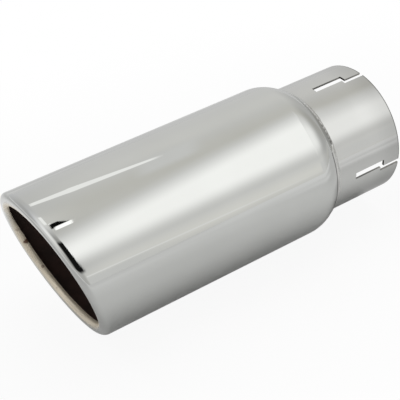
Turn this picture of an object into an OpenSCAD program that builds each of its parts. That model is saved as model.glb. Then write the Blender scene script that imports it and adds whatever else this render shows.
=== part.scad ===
// Clamp-on exhaust tip: a polished body tube with a spun shoulder and a slanted, rolled-in mouth,
// welded to a slotted inlet sleeve that slides over the tailpipe and is drawn tight by a band clamp.
// Frame: X runs along the tube from the inlet end (X = 0) to the mouth, +Z is up, and the mouth's
// longer side is on top. Millimetres.

/* [Body shell] */
// How far the body tube stands out past the inlet sleeve, measured on the radius
shoulder_step = 6.5; // [4:0.25:10]
// Sheet thickness of the body
shell_wall = 1.5; // [1:0.1:2]
// Length on the axis, from the inlet end to the middle of the mouth
mouth_x = 211; // [180:1:280]
// Slant of the mouth, away from square
mouth_slant = 17.5; // [5:0.5:32]
// Outside radius of the spun shoulder
shoulder_r = 20; // [12:0.5:26]

/* [Rolled lip] */
// Outside radius of the roll
lip_r = 3.7; // [3:0.1:6]
// Straight end of the sheet, turned back into the body
lip_return = 0.5; // [0.4:0.1:4]

/* [Inlet sleeve] */
// Outside diameter of the sleeve
neck_d = 76; // [66:0.5:80]
// Sheet thickness of the sleeve
neck_wall = 1.2; // [1:0.1:2]
// Length of the sleeve outside the body
neck_len = 46; // [42:0.5:70]
// Length of the sleeve inside the body
neck_lap = 12; // [5:0.5:25]

/* [Clamp slots] */
// Number of slots round the inlet end
slot_count = 4; // [2:1:8]
// Turn of the first slot's inner run about the axis, from the top
slot_turn = -1; // [-45:1:45]
// Length of a whole slot, from the inlet end
slot_len = 33; // [26:0.5:38]
// Length of the outer run, which opens at the inlet end
slot_outer_len = 14.1; // [10:0.1:20]
// Width of the outer run, one step round from the inner run
slot_outer_w = 2.7; // [2:0.1:4]
// Width of the inner run
slot_inner_w = 4; // [2:0.1:5]
// Length over which the two runs lie side by side
slot_link = 2.3; // [1:0.1:5]
// Overlap of the two runs round the sleeve
slot_overlap = 0.1; // [0.1:0.1:1]

/* [Weld] */
// Radius of the weld bead's section
weld_r = 1.8; // [1:0.1:2.5]
// Clearance between the sheets and the weld bead
weld_gap = 0.1; // [0.05:0.05:0.3]

/* [Hidden] */
$fn = 128;

neck_r = neck_d / 2;
body_r = neck_r + shoulder_step;
// Radius at which the shell's edge and the bead lie round the sleeve
seat_r = neck_r + weld_gap;
// Angle and run of the shoulder's arc, from the body tube down to the sleeve
shoulder_turn = acos(1 - (body_r - seat_r) / shoulder_r);
shoulder_x = neck_len + shoulder_r * sin(shoulder_turn);
// Middle of the lip's roll, and the plane where the straight tube hands over to the mouth
roll_x = mouth_x - lip_r;
join_x = roll_x - lip_return - lip_r;
// Distance round the sleeve between the middles of a slot's two runs
slot_step = (slot_outer_w + slot_inner_w) / 2 - slot_overlap;
// How far a cutting block runs past what it cuts
past = 5;

// Turns a profile drawn as (radius, X) round the tube's axis
module turned() {
    rotate([0, 90, 0]) rotate_extrude() children();
}

// Leans everything towards the mouth at the top, so that square sections take the mouth's slant
module leaned() {
    multmatrix([[1, 0, tan(mouth_slant), 0], [0, 1, 0, 0], [0, 0, 1, 0], [0, 0, 0, 1]]) children();
}

// One quarter or half of a bent sheet: a ring cut to the box from low to high about its centre
module bend(r, wall, low, high) {
    intersection() {
        difference() {
            circle(r);
            circle(r - wall);
        }
        translate(low) square(high - low);
    }
}

// Section of the shoulder and the straight tube, up to the plane x_end
module tube_section(x_end) {
    translate([body_r - shoulder_r, shoulder_x])
        bend(shoulder_r, shell_wall, [seat_r - body_r + shoulder_r, -shoulder_r], [shoulder_r, 0]);
    translate([body_r - shell_wall, shoulder_x]) square([shell_wall, x_end - shoulder_x]);
}

// Section of the mouth: the wall, the half-round roll and the sheet's end turned back inside
module mouth_section() {
    translate([body_r - shell_wall, join_x]) square([shell_wall, roll_x - join_x]);
    translate([body_r - lip_r, roll_x]) bend(lip_r, shell_wall, [-lip_r, 0], [lip_r, lip_r]);
    translate([body_r - 2 * lip_r, roll_x - lip_return]) square([shell_wall, lip_return]);
}

// Everything beyond the slanted plane that crosses the axis at x
module beyond_slant(x) {
    reach = mouth_x + 2 * body_r;
    leaned() translate([x, -reach / 2, -reach / 2]) cube(reach);
}

module outer_shell() {
    color("silver") {
        difference() {
            turned() tube_section(mouth_x + body_r);
            beyond_slant(join_x);
        }
        leaned() turned() mouth_section();
    }
}

// One run of a slot, turned to its place: from x_start to x_end, w wide, through the sleeve's wall
module slot_run(x_start, x_end, w) {
    translate([x_start, -w / 2, neck_r - neck_wall - past])
        cube([x_end - x_start, w, neck_wall + 2 * past]);
}

// A slot in two runs, the outer one a step round from the inner one, so that its lips meet side on
module stepped_slot() {
    slot_run(slot_outer_len - slot_link, slot_len, slot_inner_w);
    rotate([-slot_step / neck_r * 180 / PI, 0, 0]) slot_run(-past, slot_outer_len, slot_outer_w);
}

module inlet_sleeve() {
    color("gainsboro") difference() {
        turned() translate([neck_r - neck_wall, 0]) square([neck_wall, neck_len + neck_lap]);
        for (i = [0 : slot_count - 1])
            rotate([-slot_turn - i * 360 / slot_count, 0, 0]) stepped_slot();
    }
}

// Fillet weld in the corner between the sleeve and the shoulder's edge
module weld_bead() {
    color("darkgray") turned() difference() {
        translate([seat_r, neck_len]) circle(weld_r, $fn = 32);
        translate([seat_r - 2 * weld_r, neck_len - weld_r - past])
            square([2 * weld_r, 2 * (weld_r + past)]);
        translate([body_r - shoulder_r, shoulder_x]) circle(shoulder_r + weld_gap);
    }
}

outer_shell();
inlet_sleeve();
weld_bead();
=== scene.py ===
import math

import bpy
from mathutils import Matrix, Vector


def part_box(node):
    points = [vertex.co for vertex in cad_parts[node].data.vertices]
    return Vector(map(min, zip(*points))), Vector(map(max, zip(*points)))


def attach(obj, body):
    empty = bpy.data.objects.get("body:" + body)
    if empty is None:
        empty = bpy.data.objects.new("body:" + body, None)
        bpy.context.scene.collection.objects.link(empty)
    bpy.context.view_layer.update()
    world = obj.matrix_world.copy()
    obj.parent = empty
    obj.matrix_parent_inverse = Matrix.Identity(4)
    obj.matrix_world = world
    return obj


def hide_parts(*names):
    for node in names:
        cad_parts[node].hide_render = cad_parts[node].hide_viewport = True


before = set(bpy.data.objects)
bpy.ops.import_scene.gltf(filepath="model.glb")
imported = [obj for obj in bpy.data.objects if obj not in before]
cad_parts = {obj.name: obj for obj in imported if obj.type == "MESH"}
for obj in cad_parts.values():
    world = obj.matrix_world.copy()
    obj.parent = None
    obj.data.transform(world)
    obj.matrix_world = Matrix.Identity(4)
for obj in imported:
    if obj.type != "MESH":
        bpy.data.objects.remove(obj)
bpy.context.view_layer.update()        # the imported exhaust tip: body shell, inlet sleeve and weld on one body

mm = 0.001
joinWithin = 0.002 * mm                # outline points closer than this are one
slack = 0.01 * mm                      # allowed when a place is told from a surface
shellLow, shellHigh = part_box("outer_shell")
sleeveLow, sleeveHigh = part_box("inlet_sleeve")
bodyRadius = shellHigh.z
sleeveRadius = sleeveHigh.z
print("frame loaded: body radius", round(bodyRadius / mm, 2), "mm,",
      "sleeve radius", round(sleeveRadius / mm, 2), "mm")


# helpers for modelling

def deselectAll():
    if bpy.context.object and bpy.context.object.mode != "OBJECT":
        bpy.ops.object.mode_set(mode="OBJECT")
    bpy.ops.object.select_all(action="DESELECT")


def startOutline(name, x, radius):
    # one vertex at the outline's first point, left selected in edit mode
    deselectAll()
    bpy.ops.mesh.primitive_plane_add(size=mm, location=(0, 0, 0))
    piece = bpy.context.object
    piece.name = name
    piece.data.name = name
    bpy.ops.object.mode_set(mode="EDIT")
    bpy.ops.mesh.select_all(action="SELECT")
    bpy.ops.mesh.merge(type="CENTER")
    bpy.ops.transform.translate(value=(x, 0, radius))
    return piece


def drawLine(dx, dr):
    bpy.ops.mesh.extrude_region_move(TRANSFORM_OT_translate={"value": (dx, 0, dr)})


def drawArc(centreX, centreR, turn, steps):
    # turns the last vertex about a centre; a positive turn goes from the outside towards +X
    bpy.ops.mesh.spin(steps=steps, angle=-turn, center=(centreX, 0, centreR), axis=(0, 1, 0))


def spinOutline(segments):
    # closes the outline, spins it about the tube's axis and points its faces outwards
    bpy.ops.mesh.select_all(action="SELECT")
    bpy.ops.mesh.remove_doubles(threshold=joinWithin)
    bpy.ops.mesh.select_all(action="SELECT")
    bpy.ops.mesh.spin(steps=segments, angle=2 * math.pi, center=(0, 0, 0), axis=(1, 0, 0))
    bpy.ops.mesh.select_all(action="SELECT")
    bpy.ops.mesh.remove_doubles(threshold=joinWithin)
    bpy.ops.mesh.normals_make_consistent(inside=False)
    bpy.ops.object.mode_set(mode="OBJECT")


def applyModifiers(piece):
    deselectAll()
    piece.select_set(True)
    bpy.context.view_layer.objects.active = piece
    for modifier in list(piece.modifiers):
        bpy.ops.object.modifier_apply(modifier=modifier.name)


def shadeSmooth(piece, degrees):
    deselectAll()
    piece.select_set(True)
    bpy.context.view_layer.objects.active = piece
    bpy.ops.object.shade_smooth_by_angle(angle=math.radians(degrees))


# helpers for materials

def addNode(tree, kind, inputs=None, **settings):
    node = tree.nodes.new(kind)
    for key, value in settings.items():
        setattr(node, key, value)
    for key, value in (inputs or {}).items():
        if isinstance(value, bpy.types.NodeSocket):
            tree.links.new(value, node.inputs[key])
        else:
            node.inputs[key].default_value = value
    return node


def calculate(tree, operation, first, second=0.0, third=0.0):
    node = addNode(tree, "ShaderNodeMath", {0: first, 1: second, 2: third}, operation=operation)
    return node.outputs[0]


def easeBetween(tree, value, low, high, lowOut=0.0, highOut=1.0):
    node = addNode(tree, "ShaderNodeMapRange",
                   {0: value, 1: low, 2: high, 3: lowOut, 4: highOut}, interpolation_type="SMOOTHSTEP")
    return node.outputs[0]


def blendColour(tree, factor, first, second):
    node = addNode(tree, "ShaderNodeMix", {0: factor, 6: first, 7: second}, data_type="RGBA")
    return node.outputs[2]


def darken(tree, amount, tone):
    return blendColour(tree, amount, tone, (0, 0, 0, 1))


def turnDegrees(tree, across, up):
    # turn about the tube's axis, from the top towards +Y
    return calculate(tree, "DEGREES", calculate(tree, "ARCTAN2", across, up))


def axisDistance(tree, place):
    flat = addNode(tree, "ShaderNodeMapping", {"Vector": place, "Scale": (0, 1, 1)}).outputs[0]
    return addNode(tree, "ShaderNodeVectorMath", {0: flat}, operation="LENGTH").outputs["Value"]


# body shell: shoulder, straight tube and the slanted mouth with its rolled lip

bodyShell = {
    "wall": 1.5 * mm,
    "seatGap": 0.1 * mm,               # between the shoulder's edge and the sleeve
    "slant": math.radians(17.5),       # of the mouth, away from square
    "sway": 0.011,                     # its slight lean towards +Y as well, as it was cut
    "mouthX": 210.98 * mm,             # on the axis
    "shoulderR": 20 * mm,
    "lipR": 3.7 * mm,
    "lipReturn": 0.5 * mm,
    "rollDrift": (                     # turn from the top, and mm that the turned-in edge lies forward there
        (-180, -0.45), (-150, -0.25), (-130, -0.1), (-110, 0.1), (-100, 0.25), (-90, 0.7), (-80, 1.2),
        (-70, 1.55), (-60, 2.0), (-48, 2.3), (-38, 2.2), (-24, 1.7), (-8, 1.3), (10, 0.9), (30, 0.5),
        (60, 0.3), (90, 0.2), (130, -0.2), (180, -0.45),
    ),
    "holdingRing": 1.4 * mm,           # rings next to a bend, so that the long flats reflect straight
    "straightParts": 6,
    "shoulderSteps": 24,
    "lipSteps": 28,
    "segments": 288,
}


def leanOf(y, z):
    # how far forward the slanted mouth lies at a place off the axis
    return z * math.tan(bodyShell["slant"]) + y * bodyShell["sway"]


def makeBodyShell():
    v = bodyShell
    seatR = sleeveRadius + v["seatGap"]
    arcTurn = math.acos(1 - (bodyRadius - seatR) / v["shoulderR"])
    shoulderX = shellLow.x + v["shoulderR"] * math.sin(arcTurn)
    arcR = bodyRadius - v["shoulderR"]
    rollX = v["mouthX"] - v["lipR"]
    rollR = bodyRadius - v["lipR"]
    hold = v["holdingRing"]
    straight = rollX - shoulderX

    piece = startOutline("bodyShell", shellLow.x, seatR)
    drawArc(shoulderX, arcR, arcTurn, v["shoulderSteps"])       # outside of the shoulder
    drawLine(hold, 0)
    for part in range(v["straightParts"]):
        drawLine((straight - 2 * hold) / v["straightParts"], 0)
    drawLine(hold, 0)
    drawArc(rollX, rollR, math.pi, v["lipSteps"])               # outside of the roll
    drawLine(-v["lipReturn"], 0)
    drawLine(0, v["wall"])                                      # the sheet's own edge
    drawLine(v["lipReturn"], 0)
    drawArc(rollX, rollR, -math.pi, v["lipSteps"] // 2)         # inside of the roll
    drawLine(-hold, 0)
    drawLine(-straight + 2 * hold, 0)
    drawLine(-hold, 0)
    innerTurn = math.acos((seatR - arcR) / (v["shoulderR"] - v["wall"]))
    drawArc(shoulderX, arcR, -innerTurn, v["shoulderSteps"] // 2)   # inside of the shoulder
    drawLine(shellLow.x - shoulderX + (v["shoulderR"] - v["wall"]) * math.sin(innerTurn), 0)
    spinOutline(v["segments"])

    for vertex in piece.data.vertices:                          # the mouth leans, the shoulder stays
        share = (vertex.co.x - shoulderX - hold) / (straight - 2 * hold)
        vertex.co.x += leanOf(vertex.co.y, vertex.co.z) * min(max(share, 0), 1)
    return piece


def beyondReturn(place):
    # true on the roll and on the sheet's end that is turned back behind it
    v = bodyShell
    rollX = v["mouthX"] - v["lipR"] + leanOf(place.y, place.z)
    return place.x >= rollX - v["lipReturn"] - slack


def driftRoll(piece):
    # the lip was rolled by hand, so its turned-in edge isn't quite even round the mouth
    v = bodyShell
    rollR = bodyRadius - v["lipR"]
    for vertex in piece.data.vertices:
        depth = (rollR - math.hypot(vertex.co.y, vertex.co.z)) / v["lipR"]
        if depth <= 0 or not beyondReturn(vertex.co):
            continue
        turn = math.degrees(math.atan2(vertex.co.y, vertex.co.z))
        for (turn1, drift1), (turn2, drift2) in zip(v["rollDrift"], v["rollDrift"][1:]):
            if turn1 <= turn <= turn2:
                share = (1 - math.cos(math.pi * (turn - turn1) / (turn2 - turn1))) / 2
                drift = (drift1 + (drift2 - drift1) * share) * mm
        vertex.co.x += drift * (1 - math.cos(math.pi * min(depth, 1))) / 2


def paintFaces(piece, finishes, pickFinish):
    # several finishes on one piece, picked face by face
    piece.data.materials.clear()
    for finish in finishes:
        piece.data.materials.append(finish)
    for face in piece.data.polygons:
        face.material_index = pickFinish(face)


shell = makeBodyShell()
shadeSmooth(shell, 40)
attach(shell, "root")
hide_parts("outer_shell")
print("body shell:", len(shell.data.polygons), "faces")


# inlet sleeve: a tube with rounded rims and four stepped slots

inletSleeve = {
    "wall": 1.2 * mm,
    "rimEdge": 0.3 * mm,               # rounding of both rims
    "holdingRing": 0.4 * mm,           # rings next to the rims, so that the tube reflects straight
    "slotCount": 4,
    "slotTurn": math.radians(-1),      # of the first slot's inner run, from the top towards +Y
    "slotLength": 33 * mm,
    "outerLength": 14.1 * mm,          # of the run that opens at the inlet end
    "outerWidth": 2.7 * mm,
    "innerWidth": 4 * mm,
    "link": 2.3 * mm,                  # length over which the two runs lie side by side
    "overlap": 0.1 * mm,
    "rimSteps": 4,
    "segments": 360,
}


def makeSlotCutters():
    v = inletSleeve
    past = 3 * mm
    middleR = sleeveRadius - v["wall"] / 2
    step = ((v["outerWidth"] + v["innerWidth"]) / 2 - v["overlap"]) / sleeveRadius
    runs = (
        (v["outerLength"] - v["link"], v["slotLength"], v["innerWidth"], 0),
        (-past, v["outerLength"], v["outerWidth"], step),
    )
    deselectAll()
    bpy.ops.mesh.primitive_plane_add(size=mm, location=(0, 0, 0))
    cutter = bpy.context.object
    bpy.ops.object.mode_set(mode="EDIT")
    bpy.ops.mesh.select_all(action="SELECT")
    bpy.ops.mesh.delete(type="VERT")
    for slot in range(v["slotCount"]):
        for start, end, width, turn in runs:
            angle = v["slotTurn"] + turn + slot * 2 * math.pi / v["slotCount"]
            bpy.ops.mesh.primitive_cube_add(
                size=1, rotation=(-angle, 0, 0), scale=(end - start, width, v["wall"] + 2 * past),
                location=((start + end) / 2, math.sin(angle) * middleR, math.cos(angle) * middleR))
    bpy.ops.object.mode_set(mode="OBJECT")
    return cutter


def makeInletSleeve():
    v = inletSleeve
    edge = v["rimEdge"]
    low, high = sleeveLow.x, sleeveHigh.x
    bore = sleeveRadius - v["wall"]
    piece = startOutline("slottedSleeve", low, sleeveRadius - edge)
    straight = high - low - 2 * edge - 2 * v["holdingRing"]
    drawArc(low + edge, sleeveRadius - edge, math.pi / 2, v["rimSteps"])
    for length in (v["holdingRing"], straight, v["holdingRing"]):
        drawLine(length, 0)
    drawArc(high - edge, sleeveRadius - edge, math.pi / 2, v["rimSteps"])
    drawLine(0, -(v["wall"] - 2 * edge))
    drawArc(high - edge, bore + edge, math.pi / 2, v["rimSteps"])
    for length in (v["holdingRing"], straight, v["holdingRing"]):
        drawLine(-length, 0)
    drawArc(low + edge, bore + edge, math.pi / 2, v["rimSteps"])
    drawLine(0, v["wall"] - 2 * edge)
    spinOutline(v["segments"])
    cutter = makeSlotCutters()
    cut = piece.modifiers.new("slots", "BOOLEAN")
    cut.operation = "DIFFERENCE"
    cut.solver = "EXACT"
    cut.use_self = True
    cut.object = cutter
    applyModifiers(piece)
    bpy.data.objects.remove(cutter)
    return piece


sleeve = makeInletSleeve()
shadeSmooth(sleeve, 30)
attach(sleeve, "root")
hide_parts("inlet_sleeve")
print("inlet sleeve:", len(sleeve.data.polygons), "faces")


# weld: a bead with the ripples and the wandering edge of hand work

weldRing = {
    "beadR": 0.95 * mm,                # of the small bead's section, about the shell's edge
    "crownTurn": math.radians(145),    # from the toe on the sleeve to inside the shoulder
    "sink": 0.6 * mm,                  # of its root into the sleeve's wall
    "roughTurn": 31,                   # middle of the stretch left uneven, in degrees from the top towards +Y
    "roughSpread": 21,
    "rippleCount": 92,                 # laid round the joint
    "rippleShare": 0.08,               # of the bead's radius, where it is uneven
    "rippleWander": 1.5,               # how far the ripples stray from even spacing
    "wanderShare": 0.21,               # how far the bead's edge wanders
    "waves": ((5, 1, 1), (13, 0.6, 2.2), (29, 0.5, 0.4)),   # of that wandering: count, height, shift
    "dressedShare": 0.05,              # of the unevenness that is left where the weld was dressed smooth
    "filletR": 4.5 * mm,               # of the hollow that was dressed into it on the far side
    "filletFrom": (-2, -12),           # turns between which that hollow begins and ends
    "filletTo": (-170, -150),
    "flatFrom": (51, 58),              # and those of the wide flat stretch
    "flatTo": (150, 130),
    "flatToe": (-0.9 * mm, 0),         # the flat stretch's foot and top, from the shell's edge
    "flatTop": (4.35 * mm, 3.72 * mm),
    "flatBulge": 0.25 * mm,
    "steps": 14,
    "segments": 720,
}


def easedShare(value, start, end):
    share = min(max((value - start) / (end - start), 0), 1)
    return share * share * (3 - 2 * share)


def filletPlace(share):
    # share 0 to 1 along a hollow fillet between the sleeve and the shoulder
    v = weldRing
    shoulderR = bodyShell["shoulderR"]
    arcR = bodyRadius - shoulderR
    arcX = shellLow.x + math.sqrt(shoulderR ** 2 - (sleeveRadius + bodyShell["seatGap"] - arcR) ** 2)
    rise = sleeveRadius + v["filletR"] - arcR
    centreX = arcX - math.sqrt((shoulderR + v["filletR"]) ** 2 - rise ** 2)
    turn = share * math.atan2(arcX - centreX, rise)
    return centreX + math.sin(turn) * v["filletR"], sleeveRadius + v["filletR"] * (1 - math.cos(turn))


def flatPlace(share):
    # share 0 to 1 up the flat stretch, a little crowned
    v = weldRing
    (toeX, toeR), (topX, topR) = v["flatToe"], v["flatTop"]
    bulge = math.sin(math.pi * share) * v["flatBulge"]
    slope = math.atan2(topR - toeR, topX - toeX)
    return (shellLow.x + toeX + (topX - toeX) * share - math.sin(slope) * bulge,
            sleeveRadius + toeR + (topR - toeR) * share + math.cos(slope) * bulge)


def makeWeldRing():
    v = weldRing
    edgeX = shellLow.x
    piece = startOutline("weldRing", edgeX - v["beadR"], sleeveRadius)
    drawArc(edgeX, sleeveRadius, v["crownTurn"], v["steps"])
    rise = math.sin(v["crownTurn"]) * v["beadR"] + v["sink"]
    drawLine(math.cos(v["crownTurn"]) * v["beadR"], -rise)      # root, inside the sleeve's wall
    drawLine(-v["beadR"], v["sink"])
    spinOutline(v["segments"])
    for vertex in piece.data.vertices:
        radius = math.hypot(vertex.co.y, vertex.co.z)
        if radius < sleeveRadius - slack:
            continue
        turn = math.atan2(vertex.co.y, vertex.co.z)
        degrees = math.degrees(turn)
        off = (degrees - v["roughTurn"]) / v["roughSpread"]
        rough = v["dressedShare"] + (1 - v["dressedShare"]) * math.exp(-off * off)
        uneven = sum(height * math.sin(count * turn + shift) for count, height, shift in v["waves"])
        ripple = math.sin(v["rippleCount"] * turn + v["rippleWander"] * uneven)
        swell = 1 + rough * (v["rippleShare"] * ripple + v["wanderShare"] * uneven)
        upShare = math.atan2(radius - sleeveRadius, edgeX - vertex.co.x) / v["crownTurn"]
        x = edgeX + (vertex.co.x - edgeX) * swell
        newRadius = sleeveRadius + (radius - sleeveRadius) * (1 + rough * v["rippleShare"] * ripple)
        if degrees < v["filletFrom"][0]:
            share = easedShare(degrees, *v["filletFrom"]) * easedShare(degrees, *v["filletTo"])
            dressedX, dressedR = filletPlace(upShare)
        else:
            share = easedShare(degrees, *v["flatFrom"]) * easedShare(degrees, *v["flatTo"])
            dressedX, dressedR = flatPlace(upShare)
        x += (dressedX - x) * share
        newRadius += (dressedR - newRadius) * share
        vertex.co = (x, vertex.co.y * newRadius / radius, vertex.co.z * newRadius / radius)
    return piece


weld = makeWeldRing()
shadeSmooth(weld, 60)
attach(weld, "root")
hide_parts("weld_bead")
print("weld:", len(weld.data.polygons), "faces")


# finishes

polishMarksLook = {
    "lineStretch": (1, 0.02, 0.02),    # the lines run round the tube
    "scratchTurn": (0.3, 0.5, 0.9),
    "scratchStretch": (40, 900, 900),
    "scratchBetween": (0.70, 0.78),
    "marksBetween": (0.3, 0.7),        # part of the noise's range that is used
    "lineDepth": 0.1 * mm,
}


def polishMarksGroup():
    # fine polishing lines round the tube, soft cloudiness and stray scratches
    v = polishMarksLook
    group = bpy.data.node_groups.new("polishMarks", "ShaderNodeTree")
    for name in ("Line Scale", "Cloud Scale", "Scratches"):
        group.interface.new_socket(name, in_out="INPUT", socket_type="NodeSocketFloat")
    for name in ("Lines", "Clouds", "Scratches"):
        group.interface.new_socket(name, in_out="OUTPUT", socket_type="NodeSocketFloat")
    source = addNode(group, "NodeGroupInput")
    sink = addNode(group, "NodeGroupOutput")
    place = addNode(group, "ShaderNodeTexCoord").outputs["Object"]
    along = addNode(group, "ShaderNodeMapping", {"Vector": place, "Scale": v["lineStretch"]}).outputs[0]
    lineScale, cloudScale = source.outputs["Line Scale"], source.outputs["Cloud Scale"]
    lines = addNode(group, "ShaderNodeTexNoise",
                    {"Vector": along, "Scale": lineScale, "Detail": 3, "Roughness": 0.7})
    clouds = addNode(group, "ShaderNodeTexNoise",
                     {"Vector": place, "Scale": cloudScale, "Detail": 4, "Roughness": 0.55})
    turned = {"Vector": place, "Rotation": v["scratchTurn"], "Scale": v["scratchStretch"]}
    crossed = addNode(group, "ShaderNodeMapping", turned).outputs[0]
    scratch = addNode(group, "ShaderNodeTexNoise", {"Vector": crossed, "Scale": 1.0, "Detail": 1})
    scratchMask = easeBetween(group, scratch.outputs[0], *v["scratchBetween"])
    scratchMask = calculate(group, "MULTIPLY", scratchMask, source.outputs["Scratches"])
    group.links.new(lines.outputs[0], sink.inputs["Lines"])
    group.links.new(clouds.outputs[0], sink.inputs["Clouds"])
    group.links.new(scratchMask, sink.inputs["Scratches"])
    return group


polishMarks = polishMarksGroup()


def startMaterial(name):
    material = bpy.data.materials.new(name)
    material.use_nodes = True
    material.node_tree.nodes.clear()
    tree = material.node_tree
    shader = addNode(tree, "ShaderNodeBsdfPrincipled")
    addNode(tree, "ShaderNodeOutputMaterial", {"Surface": shader.outputs[0]})
    return material, tree, shader


def placeMarks(tree, v):
    inputs = {"Line Scale": v["lineScale"], "Cloud Scale": v["cloudScale"], "Scratches": v["scratches"]}
    return addNode(tree, "ShaderNodeGroup", inputs, node_tree=polishMarks).outputs


def blendClouds(tree, marks, v):
    # the finish's two tones, mixed in soft clouds
    low, high = v["cloudsBetween"]
    return blendColour(tree, easeBetween(tree, marks["Clouds"], low, high), v["toneLow"], v["toneHigh"])


def blendRough(tree, mark, v):
    # the finish's two roughnesses, mixed by its lines or by its clouds
    return easeBetween(tree, mark, *polishMarksLook["marksBetween"], v["roughLow"], v["roughHigh"])


def blendLines(tree, marks, v):
    # rougher on the scratches as well
    rough = blendRough(tree, marks["Lines"], v)
    return calculate(tree, "MULTIPLY_ADD", marks["Scratches"], v["scratchRough"], rough)


def finishMaterial(tree, shader, tone, rough, metal=None, bump=None):
    tree.links.new(tone, shader.inputs["Base Color"])
    tree.links.new(rough, shader.inputs["Roughness"])
    if metal is not None:
        tree.links.new(metal, shader.inputs["Metallic"])
    if bump is not None:
        tree.links.new(bump, shader.inputs["Normal"])


def lineBump(tree, marks, strength):
    inputs = {"Height": marks["Lines"], "Strength": strength, "Distance": polishMarksLook["lineDepth"]}
    return addNode(tree, "ShaderNodeBump", inputs).outputs[0]


bodyFinish = {
    "lineScale": 900,
    "cloudScale": 28,
    "cloudsBetween": (0.3, 0.7),
    "scratches": 0.2,
    "scratchRough": 0.06,
    "bumpStrength": 0.005,
    "toneLow": (0.577, 0.584, 0.570, 1),
    "toneHigh": (0.592, 0.599, 0.586, 1),
    "roughLow": 0.008,
    "roughHigh": 0.022,
    "tanFrom": 40.7 * mm,              # radii between which the turned-in half of the lip gets its heat tint
    "tanTo": 37.9 * mm,
    "tanBehind": 120 * mm,             # places along the tube between which the tint may begin, so that none
    "tanAhead": 150 * mm,              # gets on the shoulder
    "thinTurn": -72,                   # where round the mouth the tint is thinnest
    "thinSpread": 34,                  # how many degrees to each side that goes on
    "thinBy": 2.0 * mm,
    "tan": (0.85, 0.76, 0.61, 1),
    "tanRough": 0.36,
    "tanMetal": 0.35,
    "mottledBetween": (0.2, 0.55),
    "mottledFrom": 0.75,               # least strength of the tint in its lighter clouds
    "stainTone": (0.13, 0.055, 0.03, 1),
    "stainScale": 700,                 # of the stains' wavy edges
    "stainFade": 1.6,
    "stains": (                        # turn from the top, turn round the roll, radius, strength
        (-105, 176, 1.9 * mm, 0.95),
        (-131, 172, 1.1 * mm, 0.55),
        (-91, 160, 1.2 * mm, 0.35),
        (-152, 150, 0.8 * mm, 0.25),
    ),
}


def placeOnRoll(turn, roundTurn):
    # point on the lip's roll: turn from the top towards +Y, and from the outside round to the bore
    v = bodyShell
    turn, roundTurn = math.radians(turn), math.radians(roundTurn)
    radius = bodyRadius - v["lipR"] + v["lipR"] * math.cos(roundTurn)
    y, z = radius * math.sin(turn), radius * math.cos(turn)
    x = v["mouthX"] - v["lipR"] + v["lipR"] * math.sin(roundTurn)
    return x + z * math.tan(v["slant"]), y, z


def polishedBodyMaterial():
    v = bodyFinish
    material, tree, shader = startMaterial("mirrorPolishedSteel")
    marks = placeMarks(tree, v)
    place = addNode(tree, "ShaderNodeTexCoord").outputs["Object"]
    along, across, up = addNode(tree, "ShaderNodeSeparateXYZ", {0: place}).outputs

    fromThin = calculate(tree, "SUBTRACT", turnDegrees(tree, across, up), v["thinTurn"])
    thin = easeBetween(tree, calculate(tree, "ABSOLUTE", fromThin), 0.0, v["thinSpread"], v["thinBy"], 0.0)
    radius = calculate(tree, "ADD", axisDistance(tree, place), thin)
    tinted = easeBetween(tree, radius, v["tanTo"], v["tanFrom"], 1.0, 0.0)
    tinted = calculate(tree, "MULTIPLY", tinted, easeBetween(tree, along, v["tanBehind"], v["tanAhead"]))
    mottled = easeBetween(tree, marks["Clouds"], *v["mottledBetween"], v["mottledFrom"], 1.0)
    tone = blendClouds(tree, marks, v)
    tone = blendColour(tree, calculate(tree, "MULTIPLY", tinted, mottled), tone, v["tan"])

    wavy = addNode(tree, "ShaderNodeTexNoise", {"Vector": place, "Scale": v["stainScale"], "Detail": 2})
    for turn, roundTurn, size, strength in v["stains"]:
        centre = placeOnRoll(turn, roundTurn)
        away = addNode(tree, "ShaderNodeVectorMath", {0: place, 1: centre}, operation="DISTANCE")
        away = calculate(tree, "MULTIPLY_ADD", wavy.outputs[0], size, away.outputs["Value"])
        stain = easeBetween(tree, away, size, v["stainFade"] * size, strength, 0.0)
        tone = blendColour(tree, stain, tone, v["stainTone"])

    rough = calculate(tree, "MULTIPLY_ADD", tinted, v["tanRough"], blendLines(tree, marks, v))
    metal = calculate(tree, "MULTIPLY_ADD", tinted, v["tanMetal"] - 1, 1.0)
    finishMaterial(tree, shader, tone, rough, metal, lineBump(tree, marks, v["bumpStrength"]))
    return material


sleeveFinish = {
    "lineScale": 900,
    "cloudScale": 28,
    "cloudsBetween": (0.3, 0.7),
    "scratches": 0.3,
    "scratchRough": 0.06,
    "bumpStrength": 0.015,
    "toneLow": (0.555, 0.558, 0.545, 1),
    "toneHigh": (0.575, 0.578, 0.566, 1),
    "roughLow": 0.03,
    "roughHigh": 0.07,
    "rimTone": (0.20, 0.20, 0.19, 1),  # of the cut rim
    "rimRough": 0.25,
    "rimCore": 0.54 * mm,              # where it starts to turn into the polish
    "rimWidth": 0.9 * mm,
    "inletShadeLength": 20 * mm,             # painted shade: from the inlet end, over which the polish is painted darker
    "inletShadeTone": 0.86,
}


def sleeveMaterial():
    v = sleeveFinish
    material, tree, shader = startMaterial("polishedTubeSteel")
    marks = placeMarks(tree, v)
    place = addNode(tree, "ShaderNodeTexCoord").outputs["Object"]
    along = addNode(tree, "ShaderNodeSeparateXYZ", {0: place}).outputs[0]
    # painted shade: the tube is painted darker towards the inlet end
    dull = easeBetween(tree, along, 0.0, v["inletShadeLength"], 1 - v["inletShadeTone"], 0.0)
    rim = easeBetween(tree, along, v["rimCore"], v["rimWidth"], 1.0, 0.0)
    tone = darken(tree, dull, blendClouds(tree, marks, v))
    tone = blendColour(tree, rim, tone, v["rimTone"])
    rough = calculate(tree, "MULTIPLY_ADD", rim, v["rimRough"], blendLines(tree, marks, v))
    shader.inputs["Metallic"].default_value = 1
    finishMaterial(tree, shader, tone, rough, bump=lineBump(tree, marks, v["bumpStrength"]))
    return material


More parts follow.
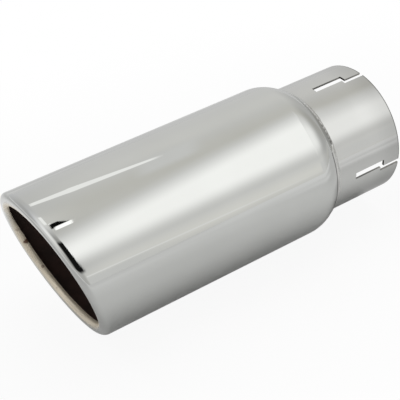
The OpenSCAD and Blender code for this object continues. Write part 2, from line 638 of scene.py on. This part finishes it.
cutFinish = {                          # the slots' walls, darker and rougher than the polish
    "lineScale": 1500,
    "cloudScale": 90,
    "cloudsBetween": (0.35, 0.65),
    "scratches": 0,
    "toneLow": (0.20, 0.20, 0.19, 1),
    "toneHigh": (0.34, 0.33, 0.31, 1),
    "roughLow": 0.3,
    "roughHigh": 0.5,
}


def cutEdgeMaterial():
    v = cutFinish
    material, tree, shader = startMaterial("cutSteelEdge")
    marks = placeMarks(tree, v)
    rough = blendRough(tree, marks["Lines"], v)
    shader.inputs["Metallic"].default_value = 1
    finishMaterial(tree, shader, blendClouds(tree, marks, v), rough)
    return material


boreFinish = {                         # dark brown inside both tubes
    "lineScale": 400,
    "cloudScale": 60,
    "cloudsBetween": (0.35, 0.65),
    "scratches": 0,
    "toneLow": (0.060, 0.042, 0.036, 1),
    "toneHigh": (0.095, 0.055, 0.046, 1),
    "roughLow": 0.55,
    "roughHigh": 0.75,
    "specular": 0.2,
}


def darkInsideMaterial():
    v = boreFinish
    material, tree, shader = startMaterial("darkBore")
    marks = placeMarks(tree, v)
    rough = blendRough(tree, marks["Clouds"], v)
    shader.inputs["Specular IOR Level"].default_value = v["specular"]
    finishMaterial(tree, shader, blendClouds(tree, marks, v), rough)
    return material


weldFinish = {
    "lineScale": 500,
    "cloudScale": 160,
    "cloudsBetween": (0.35, 0.65),
    "scratches": 0,
    "cloudShade": 0.1,
    "cloudRough": 0.04,
    "tone": (0.57, 0.575, 0.56, 1),        # where it was dressed and polished with the shoulder
    "beadPaintedShadeTone": (0.49, 0.485, 0.47, 1),    # of the small bead, darker as painted shade
    "satinPaintedLightTone": (0.82, 0.82, 0.80, 1),    # of the flat stretch, only dressed, and lighter as painted light
    "creaseShadeTone": (0.34, 0.335, 0.325, 1),    # painted shade: a dark line along that stretch's top, in the crease to the shoulder
    "polishedRough": 0.09,
    "satinRough": 0.30,
    "beadFrom": 4,                     # turns between which each begins, in degrees from the top towards +Y
    "beadTo": 16,
    "satinFrom": 50,
    "satinTo": 57,
    "creaseShadeFrom": 3.2 * mm,               # heights over the sleeve between which that painted shade line begins
    "creaseShadeTo": 3.4 * mm,
}


def weldMaterial():
    v = weldFinish
    material, tree, shader = startMaterial("weldSteel")
    marks = placeMarks(tree, v)
    cloudy = easeBetween(tree, marks["Clouds"], *v["cloudsBetween"], v["cloudShade"], 0.0)
    place = addNode(tree, "ShaderNodeTexCoord").outputs["Object"]
    parts = addNode(tree, "ShaderNodeSeparateXYZ", {0: place}).outputs
    turn = turnDegrees(tree, parts[1], parts[2])
    creaseShadeFrom, creaseShadeTo = sleeveRadius + v["creaseShadeFrom"], sleeveRadius + v["creaseShadeTo"]
    # painted shade and painted light by the turn round the axis: the small bead darker, the flat stretch
    # lighter
    tone = blendColour(tree, easeBetween(tree, turn, v["beadFrom"], v["beadTo"]), v["tone"], v["beadPaintedShadeTone"])
    tone = blendColour(tree, easeBetween(tree, turn, v["satinFrom"], v["satinTo"]), tone, v["satinPaintedLightTone"])
    # painted shade: the dark line in the crease at the flat stretch's top
    tone = blendColour(tree, easeBetween(tree, axisDistance(tree, place), creaseShadeFrom, creaseShadeTo), tone, v["creaseShadeTone"])
    tone = darken(tree, cloudy, tone)
    rough = easeBetween(tree, turn, v["satinFrom"], v["satinTo"], v["polishedRough"], v["satinRough"])
    rough = calculate(tree, "MULTIPLY_ADD", marks["Clouds"], v["cloudRough"], rough)
    shader.inputs["Metallic"].default_value = 1
    finishMaterial(tree, shader, tone, rough)
    return material


def shellFinish(face):
    # 1 for the sheet's inner skin: inside the tube, and inside the roll's half-round
    v = bodyShell
    radius = math.hypot(face.center.y, face.center.z)
    if beyondReturn(face.center):
        rollX = v["mouthX"] - v["lipR"] + leanOf(face.center.y, face.center.z)
        inner = math.hypot(face.center.x - rollX, radius - bodyRadius + v["lipR"]) < v["lipR"] - v["wall"] / 2
    else:
        inner = radius < bodyRadius - v["wall"] / 2 and face.normal.dot((0, face.center.y, face.center.z)) < 0
    return 1 if inner else 0


def tubeFinish(face):
    # 0 outside, 1 in the bore, 2 on the slots' walls, which face sideways
    v = inletSleeve
    radius = math.hypot(face.center.y, face.center.z)
    if radius < sleeveRadius - v["wall"] + 2 * slack:
        return 1
    facing = face.normal.dot((0, face.center.y / radius, face.center.z / radius))
    inSlots = v["rimEdge"] < face.center.x < v["slotLength"] + mm
    return 2 if inSlots and abs(facing) < 0.3 else 0


darkBore = darkInsideMaterial()
paintFaces(shell, (polishedBodyMaterial(), darkBore), shellFinish)
driftRoll(shell)                                                # last, as faces are picked by their place
paintFaces(sleeve, (sleeveMaterial(), darkBore, cutEdgeMaterial()), tubeFinish)
weld.data.materials.clear()
weld.data.materials.append(weldMaterial())
print("finishes assigned")


# floor, studio and camera

studio = {
    "floorSize": 12,
    "floorTone": (0.825, 0.825, 0.82, 1),
    "shadowDepth": 0.08,               # share of the real floor that the camera sees under the object
    "whiteFrom": 0.08,                 # distances from the object between which the floor turns plain white
    "whiteTo": 0.24,
    "ovalShape": (0.6, 1, 0),          # scale and shift of the oval in which those are measured
    "ovalCentre": (-0.065, 0, 0),
    "whiteToGloss": 0.62,
    "skyForFloor": 0.5,                # the sky's share in the light on all that is dull, beside the sun's
    "sunStrength": 1.45,
    "sunSpread": 60,                   # degrees
    "sunTilt": 18,                     # degrees from straight up, towards -Y
    "frontFrom": 0.1,                  # painted shade: places along it between which the floor darkens towards the mouth
    "frontTo": 0.4,
    "frontDim": 0.25,
    "inletSideFrom": 0.0,              # and those between which it gets darker past the inlet end
    "inletSideTo": -0.12,
    "inletSideDim": 0.10,
    "backFrom": -0.02,                 # and those across the axis, for its far side
    "backTo": -0.15,
    "backDim": 0.10,
    "glossShare": 0.85,                # most that the metal sees of the white floor
    "sideSlope": 0.5,                  # how much later that begins further along, towards the mouth
    "inletSlope": 0.35,                # and towards the inlet
    "backShare": 0.34,                 # and on the floor's far side
    "backShareFrom": -0.1,
    "backShareTo": -0.6,
    "aheadShare": 0.55,                # and far ahead of the mouth
    "aheadFrom": 0.3,
    "aheadTo": 0.7,
    "frontShare": 0.35,                # what is left of the near side's share towards the mouth
    "frontShareLine": 0.6,             # slope of the line it starts from, and how far ahead it is reached
    "frontShareTo": 0.5,
    "inletFrom": -0.60,                # directions along it between which the studio darkens past the inlet
    "inletTo": -0.95,
    "inletLevel": 0.72,
    "sideToLip": (-0.42, -0.33),       # and those between which one ring of levels takes over from the last
    "lipToFront": (-0.2, 0.55),
    "cardBlue": 0.99,                  # of the cards of light, which are a little warm
}

# levels of the studio round the tube's axis: degrees from straight up, + towards +Y, level, warmth
sideRing = (
    (-180, 0.85, 0), (-120, 0.88, 0), (-100, 0.80, 0.1), (-72, 0.85, 0.2), (-50, 0.89, 0.3), (-36, 0.84, 0.3),
    (-20, 0.79, 0.6), (-4, 0.79, 0.6), (45, 0.84, 0.2), (60, 0.86, 0.2), (68, 0.91, 0.2), (76, 0.98, 0.4),
    (83, 1.00, 0.5), (89, 0.90, 0.4), (96, 0.88, 0.3), (120, 0.88, 0), (180, 0.85, 0),
)
lipRing = (
    (-180, 0.70, -0.2), (-112, 0.84, -0.3), (-97, 0.74, -0.3), (-85, 0.73, -0.2), (-60, 0.70, 0.2),
    (-47, 0.72, 0), (-35, 0.76, 0), (-23, 0.88, 0), (-10, 1.08, 0.2), (2, 0.86, 0.1), (14, 0.55, 0.3),
    (24, 0.45, 0.3), (60, 0.50, 0.3), (74, 0.60, 0.3), (88, 0.63, 0.3), (100, 0.65, 0), (180, 0.60, 0),
)
frontRing = (
    (-180, 0.50, -0.2), (-130, 0.60, -0.2), (-110, 0.68, -0.1), (-80, 0.63, -0.1), (-60, 0.59, 0),
    (-45, 0.60, 0), (-35, 0.68, -0.3), (-22, 0.92, -0.3), (-8, 1.16, -0.1), (6, 1.28, 0), (22, 1.18, 0.2),
    (38, 1.02, 0.3), (52, 0.80, 0.3), (65, 0.62, 0.4), (80, 0.63, 0.3), (100, 0.66, 0.2), (180, 0.55, 0),
)


def skyCardGroup():
    # mask of one card of light: a band of angles round the axis, between two places along it
    group = bpy.data.node_groups.new("skyCard", "ShaderNodeTree")
    for name in ("Around", "Along", "Angle", "Lean", "Half Width", "Taper", "Softness",
                 "From", "From Fade", "To", "To Fade", "From Skew", "To Skew"):
        group.interface.new_socket(name, in_out="INPUT", socket_type="NodeSocketFloat")
    group.interface.new_socket("Mask", in_out="OUTPUT", socket_type="NodeSocketFloat")
    source = addNode(group, "NodeGroupInput").outputs
    sink = addNode(group, "NodeGroupOutput")
    past = calculate(group, "SUBTRACT", source["Along"], source["From"])
    middle = calculate(group, "MULTIPLY_ADD", past, source["Lean"], source["Angle"])
    off = calculate(group, "ABSOLUTE", calculate(group, "SUBTRACT", source["Around"], middle))
    width = calculate(group, "MULTIPLY_ADD", past, source["Taper"], source["Half Width"])
    inner = calculate(group, "SUBTRACT", width, source["Softness"])
    outer = calculate(group, "ADD", width, source["Softness"])
    across = easeBetween(group, off, inner, outer, 1.0, 0.0)
    above = calculate(group, "SUBTRACT", source["Around"], source["Angle"])
    start = calculate(group, "MULTIPLY_ADD", above, source["From Skew"], source["From"])
    opens = easeBetween(group, source["Along"], calculate(group, "SUBTRACT", start, source["From Fade"]),
                        calculate(group, "ADD", start, source["From Fade"]))
    end = calculate(group, "MULTIPLY_ADD", above, source["To Skew"], source["To"])
    closes = easeBetween(group, source["Along"], calculate(group, "SUBTRACT", end, source["To Fade"]),
                         calculate(group, "ADD", end, source["To Fade"]), 1.0, 0.0)
    mask = calculate(group, "MULTIPLY", across, calculate(group, "MULTIPLY", opens, closes))
    group.links.new(mask, sink.inputs["Mask"])
    return group


floorPatches = {
    # x, y, radius, and the share of painted white light that the metal sees there, or of painted shade where it
    # is below 0
    "nearShade": (-0.018, 0.030, 0.045, -0.30),
    "paintedLightSide":  (-0.185, 0.30, 0.16, 0.60),
    "sideShade": (0.10, 0.11, 0.12, -0.06),
    "backShade": (0.08, -0.33, 0.20, -0.14),
    "paintedLightFront": (0.22, -0.10, 0.15, 0.55),
}

skyCards = {
    # angle, lean, half width, taper, softness, from, its fade, to, its fade, level, skew of from, skew of to
    "softHaze":   (18.8, 71, 31.2, -71, 9, -0.571, 0.004, -0.377, 0.005, 0.97, 0, 0),
    "softbox":    (27.4, 71, 26.6, -71, 13, -0.571, 0.004, -0.377, 0.005, 1.48, 0, 0),
    "neckHaze":   (23, 0, 27, 0, 12, -0.84, 0.12, -0.565, 0.004, 1.04, 0, 0),
    "neckBox":    (34, 0, 20, 0, 13.5, -0.84, 0.12, -0.565, 0.004, 1.37, 0, 0),
    "neckShade":  (80, 0, 9, 0, 5, -0.84, 0.12, -0.565, 0.004, 0.90, 0, 0),
    "horizon":    (88, 0, 8, 0, 4, -0.445, 0.03, -0.37, 0.01, 0.86, 0, 0),
    "ahead":      (0, 0, 200, 0, 1, 0.87, 0.07, 1.5, 0.1, 0.93, 0, 0),
    "haze":       (-28, 0, 12, 0, 6, -0.492, 0.008, -0.452, 0.008, 0.88, 0, 0),
    "streak":     (-35.1, -138, 1.6, 46, 0.5, -0.466, 0.006, -0.402, 0.002, 1.32, 0, 0),
    "streakEnd":  (-42.9, -136, 4.3, -46, 0.5, -0.408, 0.002, -0.374, 0.003, 1.32, 0, 0),
    "slit":       (84.4, -40, 0.8, 0, 0.5, -0.535, 0.05, -0.385, 0.01, 1.10, 0, 0),
    "darkGap":    (46.8, 7.5, 24.2, -1.5, 3, -0.3870, 0.0006, 0.305, 0.30, 0.010, -0.00015, 0.004),
    "blackPatch": (-1.9, 0, 3.6, 0, 0.5, -0.3918, 0.0006, -0.3814, 0.0004, 0.006, -0.0013, 0),
    "whitePatch": (3.1, 0, 2.5, 0, 0.5, -0.3966, 0.0006, -0.3842, 0.0005, 1.8, 0, 0),
    "spark":      (-6.2, 0, 0.9, 0, 0.4, -0.3823, 0.0003, -0.3811, 0.0003, 1.5, 0, 0),
    "dash":       (-14, 0, 7, 0, 1, -0.3777, 0.0003, -0.28, 0.03, 1.36, 0, 0),
}


def paintRing(tree, around, levels):
    ramp = addNode(tree, "ShaderNodeValToRGB", {0: calculate(tree, "MULTIPLY_ADD", around, 1 / 360, 0.5)})
    ramp.color_ramp.interpolation = "CARDINAL"
    ceiling = 1.6                                               # a ramp holds no level above 1
    stops = ramp.color_ramp.elements
    stops[0].position = 0
    stops[1].position = 1
    for angle, level, warmth in levels:
        place = angle / 360 + 0.5
        stop = stops[0] if place == 0 else stops[len(stops) - 1] if place == 1 else stops.new(place)
        level /= ceiling
        redder, lessBlue = 0.02 * warmth, 0.08 * warmth
        stop.color = (level * (1 + redder), level, level * (1 - lessBlue), 1)
    raised = addNode(tree, "ShaderNodeVectorMath", {0: ramp.outputs[0], "Scale": ceiling}, operation="SCALE")
    return raised.outputs["Vector"]


def buildStudio():
    v = studio
    world = bpy.data.worlds.new("softStudio")
    bpy.context.scene.world = world
    world.use_nodes = True
    tree = world.node_tree
    tree.nodes.clear()
    direction = addNode(tree, "ShaderNodeSeparateXYZ",
                        {0: addNode(tree, "ShaderNodeTexCoord").outputs["Generated"]}).outputs
    around = turnDegrees(tree, direction[1], direction[2])
    along = direction[0]
    side = paintRing(tree, around, sideRing)
    lip = paintRing(tree, around, lipRing)
    front = paintRing(tree, around, frontRing)
    level = blendColour(tree, easeBetween(tree, along, *v["sideToLip"]), side, lip)
    level = blendColour(tree, easeBetween(tree, along, *v["lipToFront"]), level, front)
    cards = skyCardGroup()
    for name, (*shape, brightness, startSkew, endSkew) in skyCards.items():
        card = addNode(tree, "ShaderNodeGroup", node_tree=cards, label=name)
        values = (around, along, *shape, startSkew, endSkew)
        for socket, value in zip(card.inputs, values):
            if isinstance(value, bpy.types.NodeSocket):
                tree.links.new(value, socket)
            else:
                socket.default_value = value
        level = blendColour(tree, card.outputs[0], level, (*[brightness] * 2, brightness * v["cardBlue"], 1))
    dim = easeBetween(tree, along, v["inletFrom"], v["inletTo"], 1.0, v["inletLevel"])
    path = addNode(tree, "ShaderNodeLightPath").outputs
    light = addNode(tree, "ShaderNodeBackground", {"Color": level, "Strength": dim})
    dull = addNode(tree, "ShaderNodeBackground", {"Color": (1, 1, 1, 1), "Strength": v["skyForFloor"]})
    white = addNode(tree, "ShaderNodeBackground", {"Color": (1, 1, 1, 1), "Strength": 1.0})
    mixed = addNode(tree, "ShaderNodeMixShader",
                    {0: path["Is Diffuse Ray"], 1: light.outputs[0], 2: dull.outputs[0]})
    mixed = addNode(tree, "ShaderNodeMixShader",
                    {0: path["Is Camera Ray"], 1: mixed.outputs[0], 2: white.outputs[0]})
    addNode(tree, "ShaderNodeOutputWorld", {"Surface": mixed.outputs[0]})
    deselectAll()
    tilt = math.radians(v["sunTilt"])
    bpy.ops.object.light_add(type="SUN", location=(0.1, -0.4, 1), rotation=(tilt, 0, 0))
    sun = bpy.context.object
    sun.name = "overheadSun"
    sun.data.energy = v["sunStrength"]
    sun.data.angle = math.radians(v["sunSpread"])
    sun.visible_glossy = False                                  # the metal shows the painted studio instead


def buildFloor():
    v = studio
    deselectAll()
    bpy.ops.mesh.primitive_plane_add(size=v["floorSize"], location=(0, 0, -bodyRadius))
    floor = bpy.context.object
    floor.name = "studioFloor"
    material = bpy.data.materials.new("paleFloor")
    material.use_nodes = True
    tree = material.node_tree
    tree.nodes.clear()
    place = addNode(tree, "ShaderNodeTexCoord").outputs["Object"]
    x, y = addNode(tree, "ShaderNodeSeparateXYZ", {0: place}).outputs[0:2]
    tone = v["floorTone"]
    # painted shade on the floor: darker towards the mouth, past the inlet end and on its far side
    for span, name in ((x, "front"), (x, "inletSide"), (y, "back")):
        shade = easeBetween(tree, span, v[name + "From"], v[name + "To"], 0.0, v[name + "Dim"])
        tone = darken(tree, shade, tone)
    # painted light and painted shade: patches of the floor that glow white for the metal, or that are darker
    glow = addNode(tree, "ShaderNodeValue").outputs[0]
    glow.default_value = 0
    for spotX, spotY, radius, share in floorPatches.values():
        away = addNode(tree, "ShaderNodeVectorMath", {0: place, 1: (spotX, spotY, 0)}, operation="DISTANCE")
        spot = easeBetween(tree, away.outputs["Value"], 0.0, radius, abs(share), 0.0)
        if share < 0:
            tone = darken(tree, spot, tone)
        else:
            glow = calculate(tree, "ADD", glow, spot)
    paper = addNode(tree, "ShaderNodeBsdfDiffuse", {"Color": tone})
    plainWhite = addNode(tree, "ShaderNodeEmission", {"Color": (1, 1, 1, 1), "Strength": 1.0})
    shape, centre = v["ovalShape"], v["ovalCentre"]
    centred = addNode(tree, "ShaderNodeMapping", {"Vector": place, "Location": centre, "Scale": shape})
    far = addNode(tree, "ShaderNodeVectorMath", {0: centred.outputs[0]}, operation="LENGTH").outputs["Value"]
    path = addNode(tree, "ShaderNodeLightPath").outputs
    seen = easeBetween(tree, far, v["whiteFrom"], v["whiteTo"], 1 - v["shadowDepth"], 1.0)
    share = calculate(tree, "MULTIPLY", path["Is Camera Ray"], seen)
    reflected = calculate(tree, "MAXIMUM", path["Is Glossy Ray"], path["Is Transmission Ray"])
    near = calculate(tree, "MULTIPLY_ADD", calculate(tree, "MAXIMUM", x, 0.0), -v["sideSlope"], y)
    near = calculate(tree, "MULTIPLY_ADD", calculate(tree, "MINIMUM", x, 0.0), v["inletSlope"], near)
    near = easeBetween(tree, near, v["whiteFrom"], v["whiteToGloss"], 0.0, v["glossShare"])
    ahead = calculate(tree, "MULTIPLY_ADD", y, v["frontShareLine"], x)
    kept = easeBetween(tree, ahead, 0.0, v["frontShareTo"], 1.0, v["frontShare"])
    behind = easeBetween(tree, y, v["backShareFrom"], v["backShareTo"], 0.0, v["backShare"])
    before = easeBetween(tree, x, v["aheadFrom"], v["aheadTo"], 0.0, v["aheadShare"])
    white = calculate(tree, "MULTIPLY_ADD", near, kept, behind)
    white = calculate(tree, "ADD", calculate(tree, "ADD", white, glow), before)
    white = calculate(tree, "MINIMUM", white, 1.0)
    share = calculate(tree, "MULTIPLY_ADD", reflected, white, share)
    mixed = addNode(tree, "ShaderNodeMixShader", {0: share, 1: paper.outputs[0], 2: plainWhite.outputs[0]})
    addNode(tree, "ShaderNodeOutputMaterial", {"Surface": mixed.outputs[0]})
    floor.data.materials.append(material)


cameraView = {
    "place": (0.46851, 0.46581, 0.44746),
    "elevation": 37.50,                # degrees above the horizon
    "azimuth": 52.74,                  # degrees from +X towards +Y
    "lens": 120.59,
    "sensor": 36,
}


def buildCamera():
    v = cameraView
    deselectAll()
    turn = (math.radians(90 - v["elevation"]), 0, math.radians(v["azimuth"] + 90))
    bpy.ops.object.camera_add(location=v["place"], rotation=turn)
    camera = bpy.context.object
    camera.name = "photoCamera"
    camera.data.lens = v["lens"]
    camera.data.sensor_width = v["sensor"]
    camera.data.sensor_fit = "HORIZONTAL"
    camera.data.clip_start = 0.01
    bpy.context.scene.camera = camera


buildStudio()
buildFloor()
buildCamera()
bpy.context.scene.view_settings.view_transform = "Standard"
print("studio, floor and camera placed")
